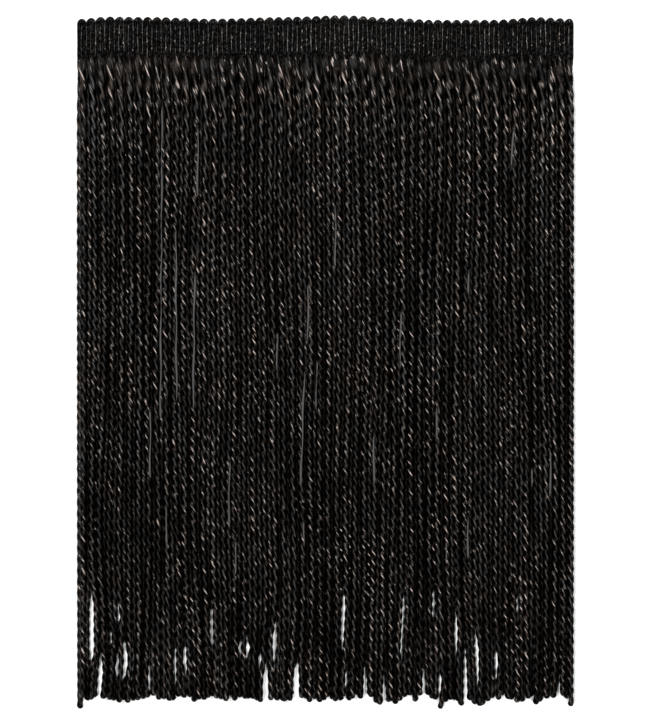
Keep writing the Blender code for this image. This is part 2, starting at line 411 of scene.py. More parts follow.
class FringeSizes(bpy.types.PropertyGroup):
    """Sizes of the yarns and threads"""

    front_radius: bpy.props.FloatProperty(
        name="Front Radius",
        description="From a front cord's axis to the crest of a ply",
        default=1.26 * MM,
        subtype="DISTANCE",
        unit="LENGTH",
    )
    front_offset: bpy.props.FloatProperty(
        name="Front Ply Offset",
        description="From a front cord's axis to the axis of one of its plies",
        default=0.66 * MM,
        subtype="DISTANCE",
        unit="LENGTH",
    )
    back_radius: bpy.props.FloatProperty(
        name="Back Radius",
        description="From a back cord's axis to the crest of a ply, a little looser than in front",
        default=1.24 * MM,
        subtype="DISTANCE",
        unit="LENGTH",
    )
    back_offset: bpy.props.FloatProperty(
        name="Back Ply Offset",
        description="From a back cord's axis to the axis of one of its plies",
        default=0.5 * MM,
        subtype="DISTANCE",
        unit="LENGTH",
    )
    twist_length: bpy.props.FloatProperty(
        name="Twist Length",
        description="Length of cord in which the plies make one turn",
        default=11.0 * MM,
        subtype="DISTANCE",
        unit="LENGTH",
    )
    rib_radius: bpy.props.FloatProperty(
        name="Rib Radius",
        description="Radius of the looped ribs of the heading",
        default=0.87 * MM,
        subtype="DISTANCE",
        unit="LENGTH",
    )
    copper_width: bpy.props.FloatProperty(
        name="Copper Width",
        description="Width of the flat copper thread in the cords",
        default=0.3 * MM,
        subtype="DISTANCE",
        unit="LENGTH",
    )
    copper_share: bpy.props.FloatProperty(
        name="Copper Share",
        description="How much of the cords' length shows copper thread",
        default=1.0,
        min=0.0,
        max=1.0,
        subtype="FACTOR",
    )
    loose_width: bpy.props.FloatProperty(
        name="Loose Thread Width",
        description="Mean width of the loose straight threads on the face",
        default=0.76 * MM,
        subtype="DISTANCE",
        unit="LENGTH",
    )
    camera_height: bpy.props.FloatProperty(
        name="Camera Height",
        description="Height of the camera above the surface",
        default=1.0,
        subtype="DISTANCE",
        unit="LENGTH",
    )


class FringeColours(bpy.types.PropertyGroup):
    """Colours of the yarns, the threads and the floor"""

    sheen: bpy.props.FloatVectorProperty(
        name="Sheen",
        description="Colour of the gloss on the black yarn",
        default=(0.112, 0.113, 0.113),
        subtype="COLOR",
        size=3,
    )
    warm_sheen: bpy.props.FloatVectorProperty(
        name="Warm Sheen",
        description="Colour of the gloss where the yarn leans to brown",
        default=(0.131, 0.111, 0.098),
        subtype="COLOR",
        size=3,
    )
    shade: bpy.props.FloatVectorProperty(
        name="Shade",
        description="Colour of the yarn where it has no gloss",
        default=(0.0012, 0.0008, 0.0006),
        subtype="COLOR",
        size=3,
    )
    rib_dark: bpy.props.FloatVectorProperty(
        name="Rib Dark",
        description="Colour between the filaments of the ribs",
        default=(0.0003, 0.0003, 0.0003),
        subtype="COLOR",
        size=3,
    )
    rib_light: bpy.props.FloatVectorProperty(
        name="Rib Light",
        description="Colour of the filaments of the ribs",
        default=(0.0130, 0.0122, 0.0118),
        subtype="COLOR",
        size=3,
    )
    copper: bpy.props.FloatVectorProperty(
        name="Copper",
        description="Colour of the metal thread",
        default=(0.42, 0.350, 0.315),
        subtype="COLOR",
        size=3,
    )
    glint: bpy.props.FloatVectorProperty(
        name="Glint",
        description="Colour of the finest copper among the filaments",
        default=(0.195, 0.165, 0.147),
        subtype="COLOR",
        size=3,
    )
    loose: bpy.props.FloatVectorProperty(
        name="Loose Thread",
        description="Colour of the loose straight threads",
        default=(0.041, 0.038, 0.037),
        subtype="COLOR",
        size=3,
    )
    floor: bpy.props.FloatVectorProperty(
        name="Floor",
        description="Colour of the floor",
        default=(0.9, 0.9, 0.9),
        subtype="COLOR",
        size=3,
    )


def smooth_step(value):
    """Ease from 0 to 1."""
    value = np.clip(value, 0.0, 1.0)
    return value * value * (3.0 - 2.0 * value)

def blend(start, stop, share):
    """A value part of the way from one to another."""
    return start + (stop - start) * share


def from_ends(track, over):
    """Ease from 0 at both ends of a track to 1 at a distance from them."""
    return smooth_step(np.minimum(np.abs(track - track[0]), np.abs(track[-1] - track)) / over)


def sway(across):
    """Rise of the heading at a place across, eased between the rows of its table."""
    place = across / MM
    for (start, low), (stop, high) in zip(HEADING_SWAY[:-1], HEADING_SWAY[1:]):
        if place <= stop:
            break
    return blend(low, high, float(smooth_step((place - start) / (stop - start)))) * MM


def hang_freely(roots, depths):
    """Where each cord hangs across the fringe at each depth, before its neighbours push it."""
    draw = random.Random(11)
    depth = depths[:, None]
    edge = smooth_step((WIDTH / 2 - PITCH / 2 - np.abs(roots)) / STRAIGHT_EDGE)
    ease = smooth_step(depth / WAVES_GROW_OVER)
    lean = 0.0
    for size, across, down, phase in SHARED_WAVES:
        lean = lean + size * np.sin(roots / (across * MM) + depth / (down * MM) + phase)
    for cord in range(len(roots)):
        for size, long in OWN_WAVES:
            turn = math.tau * depths / (long * MM) + draw.uniform(0.0, math.tau)
            lean[:, cord] += size * np.sin(turn)
    return roots + ease * edge * lean * MM


def open_partings(across, roots, depths, planned):
    """Push the cords on both sides of each parting out of its gap."""
    above_hem = ROOT_LINE - HEM - depths
    for (place, high, low, _, lean), gap in zip(PARTINGS, planned):
        below_top = high * MM - above_hem
        above_foot = above_hem - low * MM
        share = np.clip(below_top / ((high - low) * MM), 0.0, 1.0)
        centre = (place + lean * (share - 0.5)) * MM
        opened = smooth_step(below_top / PARTING_BLEND + PARTING_START)
        opened = opened * smooth_step(above_foot / PARTING_BLEND + PARTING_START)
        half = (gap / 2 + CORD_RADIUS + PARTING_SLACK) * opened - PARTING_SLACK
        left = roots < place * MM
        across[:, left] = np.minimum(across[:, left], (centre - half)[:, None])
        across[:, ~left] = np.maximum(across[:, ~left], (centre + half)[:, None])


def widest_spacing(roots, depths):
    """How far apart neighbours may lie: a row for each depth, a column for each pair of them."""
    loosened = smooth_step((depths - LOOSE_DEPTH) / LOOSENS_OVER)[:, None]
    widest = blend(NEIGHBOUR_SPACING, LOOSE_SPACING, loosened)
    widest = np.repeat(widest, len(roots) - 1, axis=1)
    above_hem = ROOT_LINE - HEM - depths
    for place, high, low, _, _ in PARTINGS:
        pair = int((roots < place * MM).sum()) - 1
        below_top = above_hem < (high + PARTING_MARGIN) * MM
        above_foot = above_hem > (low - PARTING_MARGIN) * MM
        widest[below_top & above_foot, pair] = PARTED_SPACING
    return widest


def close_up(across, widest):
    """Draw neighbours together, each by a third, so that they cover what is behind them."""
    excess = np.maximum(across[:, 1:] - across[:, :-1] - widest, 0.0)
    across[:, :-1] += excess / 3
    across[:, 1:] -= excess / 3


def part_layers(across):
    """Push neighbours in one layer apart, each by half, where they come too close."""
    overlap = np.minimum(across[:, 2:] - across[:, :-2] - SAME_LAYER_SPACING, 0.0)
    across[:, :-2] += overlap / 2
    across[:, 2:] -= overlap / 2
    limit = WIDTH / 2 - EDGE_MARGIN
    np.clip(across, -limit, limit, out=across)


def slit_widths(across, roots, depths):
    """How wide each parting's slit shows, between the sides of the cords.

    It is measured over the middle two thirds of its length, or at least one slice of it.
    """
    above_hem = ROOT_LINE - HEM - depths
    widths = []
    for place, high, low, _, _ in PARTINGS:
        left = roots < place * MM
        low = max(low, 0.0)
        near = max((high - low) / 3 * MM, 0.6 * SLICE)
        rows = across[np.abs(above_hem - (high + low) / 2 * MM) < near]
        apart = rows[:, ~left].min(axis=1) - rows[:, left].max(axis=1)
        widths.append(float(apart.max()) - 2 * CORD_COVER)
    return np.array(widths)


def settle_round(roots, depths, planned):
    """Let the cords settle, with each parting pushed open to its planned width."""
    across = hang_freely(roots, depths)
    widest = widest_spacing(roots, depths)
    for _ in range(SETTLE_STEPS):
        across[1:-1] += SMOOTHING * (across[:-2] + across[2:] - 2.0 * across[1:-1])
        open_partings(across, roots, depths, planned)
        close_up(across, widest)
        part_layers(across)
        across[0] = roots
    for _ in range(SETTLE_STEPS):
        part_layers(across)
    across[0] = roots
    return across


@functools.cache
def settle_cords():
    """Where the cords lie across the fringe: a row for each depth, a column for each cord.

    Neighbours push and pull at a parting, so its planned width is changed, round by round, until
    its slit shows as wide as its row says.
    """
    roots = np.array([-WIDTH / 2 + (cord + 0.5) * PITCH for cord in range(CORD_COUNT)])
    depths = np.arange(SLICES) * SLICE
    wanted = np.array([row[3] for row in PARTINGS]) * MM
    planned = wanted
    for _ in range(PLAN_ROUNDS):
        across = settle_round(roots, depths, planned)
        planned = planned + PLAN_RATE * (wanted - slit_widths(across, roots, depths))
        planned = np.clip(planned, PLANNED_LEAST, PLANNED_MOST)
    return roots, depths, across


def end_depths(roots):
    """How far under the strip each cord ends: uneven, with a few long ends."""
    draw = random.Random(23)
    ends = []
    for root in roots:
        uneven = min(max(draw.gauss(0.0, END_SPREAD), -END_REACH), END_REACH)
        beyond = END_MEAN + uneven
        for place, longer in LONG_ENDS:
            if abs(root - place * MM) < PITCH / 2:
                beyond = longer * MM
        ends.append(ROOT_LINE - HEM + beyond)
    return ends


def stack_cords(across, radius, contact):
    """Height of each cord's axis: each second cord lies on its neighbours, in the valley."""
    height = np.full_like(across, radius)
    for cord in range(1, CORD_COUNT, 2):
        for other in (cord - 3, cord - 1, cord + 1, cord + 3):
            if 0 <= other < CORD_COUNT:
                apart = across[:, cord] - across[:, other]
                rise = np.sqrt(np.maximum(contact**2 - apart**2, 0.0))
                height[:, cord] = np.maximum(height[:, cord], radius + rise)
    for _ in range(SAG_STEPS):
        middle = (height[:-2] + height[2:] + 2.0 * height[1:-1]) / 4
        height[1:-1] = np.maximum(middle, height[1:-1] - SAG)
    return height


def light_on_cords(across):
    """Painted light on each cord: those behind get painted shade, lifted where the front ones part.
    """
    light = np.ones_like(across)
    apart = across[:, 3::2] - across[:, 1:-2:2]
    light[:, 2:-1:2] = blend(DEEPEST_PAINTED_SHADE, 1.0, smooth_step((apart - SHUT) / (OPEN - SHUT)))
    return light


def follow(track, depth):
    """A track's value at any depth, on one smooth curve through its slices."""
    place = np.clip(depth / SLICE, 0.0, SLICES - 1.001)
    first = place.astype(int)
    share = place - first
    before = track[np.maximum(first - 1, 0)]
    here = track[first]
    there = track[first + 1]
    beyond = track[np.minimum(first + 2, SLICES - 1)]
    bend = 2.0 * before - 5.0 * here + 4.0 * there - beyond
    turn = 3.0 * (here - there) + beyond - before
    return here + 0.5 * share * (there - before + share * (bend + share * turn))


def loop_tint(number):
    """How glossy the yarn of one loop is, the same in its rib and its cords."""
    return random.Random(700 + number).uniform(*LOOP_TINTS)


def from_crest(angle):
    """How far round a cord an angle is from the crest of the nearest ply."""
    return angle - STRAND_TURN * np.round(angle / STRAND_TURN)


class Cord:
    """One twisted cord: its route down the skirt, and the turn of its plies along it."""

    def __init__(self, number, across, height, light, end, draw, sizes):
        self.number = number
        self.across = across
        self.height = height
        self.light = light
        self.end = end
        self.root = float(across[0])
        self.start = -STRIP_DEPTH - HIDDEN_START
        front = number % 2
        fullness = draw.uniform(*FULLNESS)
        self.radius = fullness * (sizes.front_radius if front else sizes.back_radius)
        self.offset = fullness * (sizes.front_offset if front else sizes.back_offset)
        self.root_offset = ROOT_OFFSET if front else self.offset
        self.root_ply = ROOT_PLY if front else self.radius - self.offset
        self.root_scale = 1.0 if front else BACK_ROOT_SCALE
        self.shift = -PITCH / 2 if number else 0.0
        lay = sizes.twist_length * draw.uniform(*LAY_SPREAD)
        self.grid = np.linspace(self.start, self.end, TURN_STEPS)
        slack = 1.0 + TOP_SLACKNESS * np.exp(-np.maximum(self.grid, 0.0) / TIGHTENS_OVER)
        wave = 1.0 + LAY_WAVE * np.sin(self.grid / LAY_WAVE_SCALE + draw.uniform(0.0, math.tau))
        rate = math.tau / (lay * slack * wave)
        step = self.grid[1] - self.grid[0]
        self.turned = np.concatenate(([0.0], np.cumsum((rate[1:] + rate[:-1]) / 2 * step)))
        self.phase = draw.uniform(0.0, math.tau)
        self.tint = loop_tint(number // 2)

    def turn(self, depth):
        """How far the plies have turned at a depth. They run down to the right on the face."""
        return self.phase - np.interp(depth, self.grid, self.turned)

    def scale(self, depth):
        """Thickness of the cord as a share of its full one: thin at the root, a knob at the end."""
        full = blend(SLACK_SCALE, TIGHT_SCALE, np.clip(depth / self.end, 0.0, 1.0) ** 3)
        root = blend(self.root_scale, full, smooth_step(depth / GATHER_DEPTH))
        left = (self.end - depth) / self.radius
        knob = blend(1.0, KNOB_SCALE, smooth_step((KNOB_LENGTH - left) / KNOB_BLEND))
        near = np.clip(left, 0.0, 1.0)
        emerged = blend(EMERGING_SCALE, 1.0, smooth_step((depth - self.start) / EMERGES_OVER))
        return emerged * root * knob * np.sqrt(np.maximum(1.0 - (1.0 - near) ** 2, 0.0))

    def reach(self, depth, angle):
        """From the axis to the surface, at an angle from the crest of a ply."""
        gathered = smooth_step(depth / GATHER_DEPTH)
        ply = blend(self.root_ply, self.radius - self.offset, gathered)
        offset = blend(self.root_offset, self.offset, gathered)
        beside = from_crest(angle)
        lobed = offset * np.cos(beside) + np.sqrt(ply**2 - (offset * np.sin(beside)) ** 2)
        left = (self.end - depth) / self.radius
        rounding = KNOB_ROUNDNESS * smooth_step((ROUNDS_FROM - left) / ROUNDS_OVER)
        return blend(lobed, self.radius, rounding) * self.scale(depth)

    def point(self, depth, angle, outward=0.0):
        """Points of the surface, at depths and at angles from the crest of a ply."""
        turned = self.turn(depth) + angle
        reach = self.reach(depth, angle) + outward
        shallow = np.maximum(depth, 0.0)
        gathered = smooth_step(depth / GATHER_DEPTH)
        shifted = self.shift * (1.0 - gathered)
        across = follow(self.across, shallow) + shifted + reach * np.cos(turned)
        lifted = smooth_step(depth / LIFT_DEPTH)
        height = blend(ROOT_HEIGHT, follow(self.height, shallow), lifted)
        flat = blend(ROOT_FLATNESS, 1.0, gathered)
        height = np.maximum(height + flat * reach * np.sin(turned), 0.0)
        rise = sway(self.root + self.shift) * (1.0 - smooth_step(depth / SWAY_DEPTH))
        along = np.broadcast_to(ROOT_LINE - depth + rise, across.shape)
        return np.stack((across, along, height), axis=-1)

    def tone(self, depth, angle):
        """Tint with painted highlight and shade, at depths and at angles from a ply's crest."""
        beside = from_crest(angle)
        crest = self.turn(depth) + angle - beside
        settled = smooth_step(depth / ROOT_CREST_REACH)
        away = blend(ROOT_TURNED_AWAY, TURNED_AWAY, settled)
        # Painted highlight where the ply's crest turns up to the face
        facing = smooth_step((np.sin(crest) - away) / (TURNED_UP - away))
        facing = blend(1.0, facing, smooth_step(depth / EVEN_DEPTH))
        # Painted shade where the cord comes out from under the ribs
        emerged = smooth_step((depth - self.start) / UNDER_RIB_SHADE_DEPTH)
        below = blend(UNDER_RIB_PAINTED_SHADE, 1.0, emerged)
        fading = TOP_GLOSS - HEM_FADING * np.clip(depth / self.end, 0.0, 1.0)
        fading = fading - ROOT_FADING * (1.0 - settled)
        # Painted shade on back cords that the front ones cover
        light = follow(self.light, np.maximum(depth, 0.0))
        # Painted shade beside each crest, down into the grooves between plies
        fall = blend(ROOT_CREST_FALL, CREST_FALL, settled)
        return self.tint * below * fading * facing * light * np.cos(beside) ** fall


def plan_cords(sizes):
    """All the cords of the skirt."""
    roots, _, across = settle_cords()
    contact = LAYER_CONTACT * (sizes.back_radius + sizes.front_radius)
    height = stack_cords(across, sizes.back_radius, contact)
    light = light_on_cords(across)
    ends = end_depths(roots)
    draw = random.Random(5)
    cords = []
    for number in range(CORD_COUNT):
        tracks = (across[:, number], height[:, number], light[:, number])
        cords.append(Cord(number, *tracks, ends[number], draw, sizes))
    return cords


def deselect_all():
    """Leave nothing selected, and no object in edit mode."""
    if bpy.context.object and bpy.context.object.mode != "OBJECT":
        bpy.ops.object.mode_set(mode="OBJECT")
    bpy.ops.object.select_all(action="DESELECT")


def model_rod(columns, rings):
    """A straight closed rod with one unit between its rings, extruded from a circle."""
    deselect_all()
    bpy.ops.mesh.primitive_circle_add(vertices=columns, radius=1.0, fill_type="NGON")
    rod = bpy.context.object
    bpy.ops.object.mode_set(mode="EDIT")
    bpy.ops.mesh.select_all(action="SELECT")
    for _ in range(rings - 1):
        bpy.ops.mesh.extrude_region_move(TRANSFORM_OT_translate={"value": (0.0, 0.0, 1.0)})
    bpy.ops.mesh.select_all(action="SELECT")
    bpy.ops.mesh.normals_make_consistent(inside=False)
    bpy.ops.object.mode_set(mode="OBJECT")
    return rod


class Blank:
    """A rod to be copied and bent: the ring and the column of each of its corners."""

    def __init__(self, columns, rings):
        rod = model_rod(columns, rings)
        mesh = rod.data
        spots = np.array([corner.co for corner in mesh.vertices])
        self.columns = columns
        self.rings = rings
        self.ring = np.rint(spots[:, 2]).astype(int)
        turn = np.arctan2(spots[:, 1], spots[:, 0]) - math.atan2(spots[0, 1], spots[0, 0])
        self.column = np.rint(turn / math.tau * columns).astype(int) % columns
        self.faces = [tuple(face.vertices) for face in mesh.polygons]
        self.corner_ring = []
        self.corner_column = []
        for face in self.faces:
            sides = [int(self.column[corner]) for corner in face]
            wraps = len(face) == 4 and max(sides) - min(sides) > 1
            for corner, side in zip(face, sides):
                self.corner_ring.append(int(self.ring[corner]))
                self.corner_column.append(columns if wraps and side == 0 else side)
        bpy.data.objects.remove(rod)
        bpy.data.meshes.remove(mesh)


def bent_copies(name, blank, shapes, smooth=True):
    """One mesh of many bent copies of a blank.

    Each shape has its corners' points as rings by columns, and a map of the same kind with one
    more column for the seam, or 0 where its finish reads none. Its tint, with painted light and
    shade on the cords, is the same all over, or is given as rings by columns.
    """
    points = []
    faces = []
    places = []
    tints_and_painted_light = []
    for spots, spread, tone in shapes:
        base = len(points)
        points.extend(spots[blank.ring, blank.column].tolist())
        faces.extend([tuple(base + corner for corner in face) for face in blank.faces])
        spread = np.broadcast_to(spread, (blank.rings, blank.columns + 1, 2))
        places.append(spread[blank.corner_ring, blank.corner_column].ravel())
        tints_and_painted_light.extend(np.broadcast_to(tone, spots.shape[:2])[blank.ring, blank.column])
    mesh = bpy.data.meshes.new(name)
    mesh.from_pydata(points, [], faces)
    strands = mesh.uv_layers.new(name="strands")
    strands.data.foreach_set("uv", np.concatenate(places))
    # Each yarn's own tint and, on the cords, painted highlight and painted shade
    tone = mesh.attributes.new("tone", "FLOAT", "POINT")
    tone.data.foreach_set("value", tints_and_painted_light)
    if smooth:
        mesh.shade_smooth()
    piece = bpy.data.objects.new(name, mesh)
    bpy.context.scene.collection.objects.link(piece)
    return piece


def grain_map(around, along, jitter):
    """A yarn's map: places round it and along it in mm, moved so that no two look the same."""
    return np.stack(np.broadcast_arrays(around + jitter, along + jitter), axis=-1)


def angles_round(columns, seam=0):
    """Angles round a yarn from its underside, with the first once more for a seam."""
    return -math.pi / 2 + math.tau * np.arange(columns + seam)[None, :] / columns


def ring_points(across, along, height, forward, radius, angles):
    """Points round a yarn on the face: a ring for each place on its route, by the angles."""
    sideways = radius[:, None] * np.cos(angles)
    return np.stack(
        (
            across[:, None] - sideways * forward[:, 1:],
            along[:, None] + sideways * forward[:, :1],
            height[:, None] + radius[:, None] * np.sin(angles),
        ),
        axis=-1,
    )


def run_along(across, along):
    """How far along a route each of its places is."""
    return np.concatenate(([0.0], np.cumsum(np.hypot(np.diff(across), np.diff(along)))))


def cord_shape(cord):
    """Points, map, and tint with painted highlight and shade, of one cord, for the cord blank."""
    body = np.linspace(cord.start, cord.end - BODY_END * cord.radius, BODY_RINGS)
    depth = np.concatenate((body, cord.end - np.array(KNOB_STEPS) * cord.radius))[:, None]
    points = cord.point(depth, CORNER_ANGLES[None, :])
    around = np.append(CORNER_ANGLES, CORNER_ANGLES[0] + math.tau)[None, :]
    turned = np.interp(depth, cord.grid, cord.turned)
    streak = cord.radius / MM * (around - STREAK_DRIFT * turned)
    spread = grain_map(streak, depth / MM, cord.number * CORD_JITTER)
    return points, spread, cord.tone(depth, CORNER_ANGLES[None, :])


class Finish:
    """A material, and the means to add its nodes."""

    def __init__(self, name):
        self.material = bpy.data.materials.new(name)
        self.material.use_nodes = True
        self.tree = self.material.node_tree

    def fill(self, node, inputs):
        """Set a node's inputs, or link them where they are given another node's output."""
        for name, value in inputs.items():
            if isinstance(value, bpy.types.NodeSocket):
                self.tree.links.new(value, node.inputs[name])
            else:
                node.inputs[name].default_value = value

    def add(self, kind, output, inputs, **settings):
        """An output of a new node, which gets its settings before its inputs."""
        node = self.tree.nodes.new(kind)
        for name, value in settings.items():
            setattr(node, name, value)
        self.fill(node, inputs)
        return node.outputs[output]

    def shade(self, inputs):
        """The material, once its shader has its inputs."""
        self.fill(self.tree.nodes["Principled BSDF"], inputs)
        return self.material

    def tone(self):
        """The yarn's own tint and the painted light and shade on each place, from its attribute."""
        return self.add("ShaderNodeAttribute", "Fac", {}, attribute_name="tone")

    def noise(self, place, scale, shift, detail):
        """Noise on a map or on places in space, stretched and moved."""
        moved = {"Vector": place, "Scale": scale, "Location": (shift, shift, 0.0)}
        stretched = self.add("ShaderNodeMapping", "Vector", moved)
        inputs = {"Vector": stretched, "Scale": 1.0, "Detail": detail}
        return self.add("ShaderNodeTexNoise", "Fac", inputs)

    def strand_noise(self, across, along, shift, detail):
        """Noise on the strands' own map: the scales across and along them, in cells for 1 mm."""
        place = self.add("ShaderNodeUVMap", "UV", {}, uv_map="strands")
        return self.noise(place, (across, along, 1.0), shift, detail)

    def spread_noise(self, across, along, detail):
        """Noise over the whole fringe: the scales across and along it, in cells for 1 m."""
        place = self.add("ShaderNodeTexCoord", "Object", {})
        return self.noise(place, (across, along, across), 0.0, detail)

    def ranged(self, value, low, high, to_low=0.0, to_high=1.0):
        """A value taken from one range to another, and held at its ends."""
        ends = {"From Min": low, "From Max": high, "To Min": to_low, "To Max": to_high}
        return self.add("ShaderNodeMapRange", "Result", {"Value": value, **ends})

    def product(self, first, second):
        """Two values multiplied."""
        return self.add("ShaderNodeMath", "Value", {0: first, 1: second}, operation="MULTIPLY")

    def mixed(self, share, first, second):
        """Two colours mixed by a value, each one plain or another node's output."""
        inputs = {"Factor": share}
        for name, shade in (("A", first), ("B", second)):
            linked = isinstance(shade, bpy.types.NodeSocket)
            inputs[name] = shade if linked else (*shade, 1.0)
        return self.add("ShaderNodeMix", "Result", inputs, data_type="RGBA")

    def relief(self, height, strength):
        """The surface raised a little where a value is high."""
        inputs = {"Height": height, "Strength": strength, "Distance": RELIEF}
        return self.add("ShaderNodeBump", "Normal", inputs)


def yarn_material(name, colours, gloss, grain, copper_share, streak_bump):
    """Black yarn: fine glossy filaments along the ply, and hair-thin copper that glints among them.

    It shines as a dark metal does, so that the colour alone says how glossy each place is. Its
    colour also carries the painted highlight and painted shade of the cords.
    """
    yarn = Finish(name)
    tone = yarn.tone()

    # Glossy filaments, with duller and warmer patches among them, under painted highlight and shade
    filaments = yarn.strand_noise(3.0, grain, shift=0.0, detail=2.0)
    gloss_and_painted_light = yarn.product(yarn.ranged(filaments, 0.38, 0.64, 0.15 * gloss, gloss), tone)
    slow = yarn.strand_noise(0.023, 0.06, shift=11.9, detail=1.0)
    gloss_and_painted_light = yarn.product(gloss_and_painted_light, yarn.ranged(slow, 0.35, 0.65, 0.45, 1.35))
    patches = yarn.ranged(yarn.spread_noise(130.0, 130.0, detail=1.0), 0.47, 0.62)
    sheen = yarn.mixed(patches, colours.sheen, colours.warm_sheen)
    gleam = yarn.mixed(gloss_and_painted_light, colours.shade, sheen)

    # Copper glints, in some stretches only, and not where shade is painted on the yarn
    copper = yarn.strand_noise(2.3, 0.7 * grain, shift=31.7, detail=0.0)
    glints = yarn.ranged(copper, 1.0 - copper_share, 1.03 - copper_share)
    rich = yarn.strand_noise(0.031, 0.045, shift=5.3, detail=1.0)
    glints = yarn.product(glints, yarn.ranged(rich, 0.4, 0.5))
    glints = yarn.product(glints, yarn.ranged(tone, 0.0, 0.3))
    return yarn.shade(
        {
            "Base Color": yarn.mixed(glints, gleam, colours.glint),
            "Metallic": 1.0,
            "Roughness": yarn.ranged(filaments, 0.3, 0.7, 0.56, 0.42),
            "Normal": yarn.relief(filaments, streak_bump),
        }
    )


def rib_material(colours):
    """Dull black yarn of the ribs."""
    yarn = Finish("rib yarn")
    filaments = yarn.strand_noise(1.3, 1.0, shift=3.1, detail=2.0)
    light = yarn.product(yarn.ranged(filaments, 0.51, 0.57), yarn.tone())
    return yarn.shade(
        {
            "Base Color": yarn.mixed(light, colours.rib_dark, colours.rib_light),
            "Roughness": 0.6,
            "Specular IOR Level": 0.01,
            "Normal": yarn.relief(filaments, 0.5),
        }
    )


def copper_material(colours):
    """Flat metal thread, a little uneven in gloss."""
    thread = Finish("copper thread")
    uneven = thread.spread_noise(900.0, 900.0, detail=1.0)
    return thread.shade(
        {
            "Base Color": (*colours.copper, 1.0),
            "Metallic": 1.0,
            "Roughness": thread.ranged(uneven, 0.0, 1.0, 0.6, 0.8),
        }
    )


def loose_material(colours):
    """Dull dark thread with a faint grain along it."""
    thread = Finish("loose thread")
    grain = thread.ranged(thread.spread_noise(5000.0, 300.0, detail=2.0), 0.3, 0.7)
    dark = [0.45 * part for part in colours.loose]
    return thread.shade(
        {
            "Base Color": thread.mixed(grain, dark, colours.loose),
            "Roughness": 0.6,
        }
    )


def ground_material(colours):
    """Plain black weave under the ribs."""
    cloth = Finish("ground")
    place = cloth.add("ShaderNodeTexCoord", "Object", {})
    threads = {"Vector": place, "Scale": 600.0, "Distortion": 0.4}
    warp = cloth.add("ShaderNodeTexWave", "Fac", threads, bands_direction="X")
    weft = cloth.add("ShaderNodeTexWave", "Fac", threads, bands_direction="Y")
    weave = cloth.product(warp, weft)
    return cloth.shade(
        {
            "Base Color": cloth.mixed(weave, colours.rib_dark, colours.rib_light),
            "Roughness": 0.8,
            "Specular IOR Level": 0.1,
            "Normal": cloth.relief(weave, 0.5),
        }
    )


def floor_material(colours):
    """Plain pale paper."""
    return Finish("pale floor").shade({"Base Color": (*colours.floor, 1.0), "Roughness": 0.9})


def finish_piece(piece, material, node=None):
    """Give a piece its material and its place in the frame."""
    piece.data.materials.clear()
    piece.data.materials.append(material)
    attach(piece, "root")
    if node:
        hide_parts(node)


class FRINGE_OT_stage(bpy.types.Operator):
    """Lay the pale floor, hang the lights and set the camera over the fringe"""

    bl_idname = "fringe.stage"
    bl_label = "Floor, Lights and Camera"

    def execute(self, context):
        sizes = context.scene.fringe_sizes
        colours = context.scene.fringe_colours
        deselect_all()
        bpy.ops.mesh.primitive_plane_add(size=FLOOR_SIZE, location=(0.0, 0.0, 0.0))
        floor = context.object
        floor.name = "floor"
        floor.data.materials.append(floor_material(colours))

        world = bpy.data.worlds.new("studio")
        world.use_nodes = True
        sky = world.node_tree.nodes["Background"]
        sky.inputs["Color"].default_value = (1.0, 1.0, 1.0, 1.0)
        sky.inputs["Strength"].default_value = SKY
        context.scene.world = world

        for name, place, power in LAMPS:
            lamp = bpy.data.lights.new(name, "AREA")
            lamp.shape = "DISK"
            lamp.size = LAMP_SIZE
            lamp.energy = power
            hung = bpy.data.objects.new(name, lamp)
            hung.location = place
            towards = -hung.location
            hung.rotation_euler = towards.to_track_quat("-Z", "Y").to_euler()
            context.scene.collection.objects.link(hung)

        eye = bpy.data.cameras.new("camera")
        eye.sensor_width = 36.0
        eye.lens = eye.sensor_width * (sizes.camera_height - FACE_HEIGHT) / FRAME_HEIGHT
        eye.clip_start = 0.05
        eye.clip_end = 20.0
        camera = bpy.data.objects.new("camera", eye)
        camera.location = (*FRAME_CENTRE, sizes.camera_height)
        context.scene.collection.objects.link(camera)
        context.scene.camera = camera
        context.scene.view_settings.view_transform = "Standard"
        return {"FINISHED"}


class FRINGE_OT_cords(bpy.types.Operator):
    """Twist the cords and lay them in two staggered layers"""

    bl_idname = "fringe.cords"
    bl_label = "Twisted Cords"

    def execute(self, context):
        sizes = context.scene.fringe_sizes
        colours = context.scene.fringe_colours
        blank = Blank(COLUMNS, BODY_RINGS + len(KNOB_STEPS))
        cords = plan_cords(sizes)
        material = yarn_material(
            "cord yarn", colours, YARN_GLOSS, grain=0.36, copper_share=0.34, streak_bump=0.55
        )
        for layer, name in enumerate(("back_cords", "front_cords")):
            for span in range(SPANS):
                low = span * CORD_COUNT // SPANS
                high = (span + 1) * CORD_COUNT // SPANS
                chosen = [cord for cord in cords[low:high] if cord.number % 2 == layer]
                shapes = [cord_shape(cord) for cord in chosen]
                piece = bent_copies(f"{name}_{span + 1}", blank, shapes)
                finish_piece(piece, material, "skirt")
        return {"FINISHED"}


